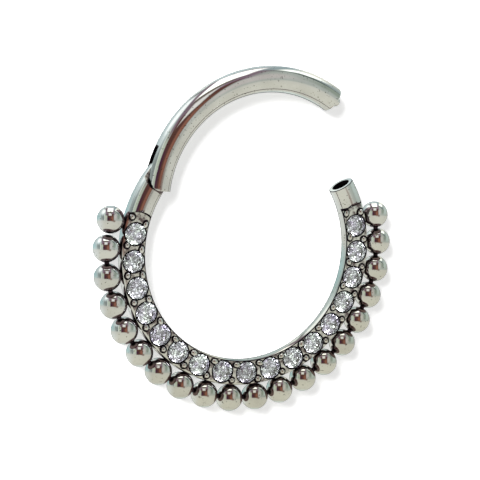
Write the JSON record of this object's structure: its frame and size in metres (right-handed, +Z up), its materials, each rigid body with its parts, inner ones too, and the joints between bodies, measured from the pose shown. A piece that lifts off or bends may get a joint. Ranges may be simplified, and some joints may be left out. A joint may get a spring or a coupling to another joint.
{
  "type": "hinged septum ring",
  "caption": "Hinged wire ring, open: a plain arc swings on a pin and clicks into a hollow-ended band set with clear stones and edged with soldered balls.",
  "frame": {"origin": "under the middle of the open ring's bounding box, on the surface that the ring lies on", "axes": "+Z up, the way the stones face; +Y towards the closing arc; +X to the right, with the hinge on the -X side"},
  "size_m": [0.0148, 0.0158, 0.0012],
  "materials": {
    "polished_steel": "mirror polished surgical steel",
    "clear_stone": "round brilliant, clear cubic zirconia"
  },
  "bodies": {
    "band": {"beaded_band": "polished_steel", "stone_01": "clear_stone", "stone_02": "clear_stone", "stone_03": "clear_stone", "stone_04": "clear_stone", "stone_05": "clear_stone", "stone_06": "clear_stone", "stone_07": "clear_stone", "stone_08": "clear_stone", "stone_09": "clear_stone", "stone_10": "clear_stone", "stone_11": "clear_stone", "stone_12": "clear_stone", "stone_13": "clear_stone", "stone_14": "clear_stone", "stone_15": "clear_stone", "stone_16": "clear_stone", "stone_17": "clear_stone"},
    "arc": {"closing_arc": "polished_steel", "hinge_pin": "polished_steel"}
  },
  "joints": [
    {"name": "arc_swing", "type": "hinge", "parent": "band", "child": "arc", "pos_m": [-0.00446, 0.00314, 0.00061], "axis": [0, 0, 1], "range_deg": [-24.5, 80]}
  ]
}
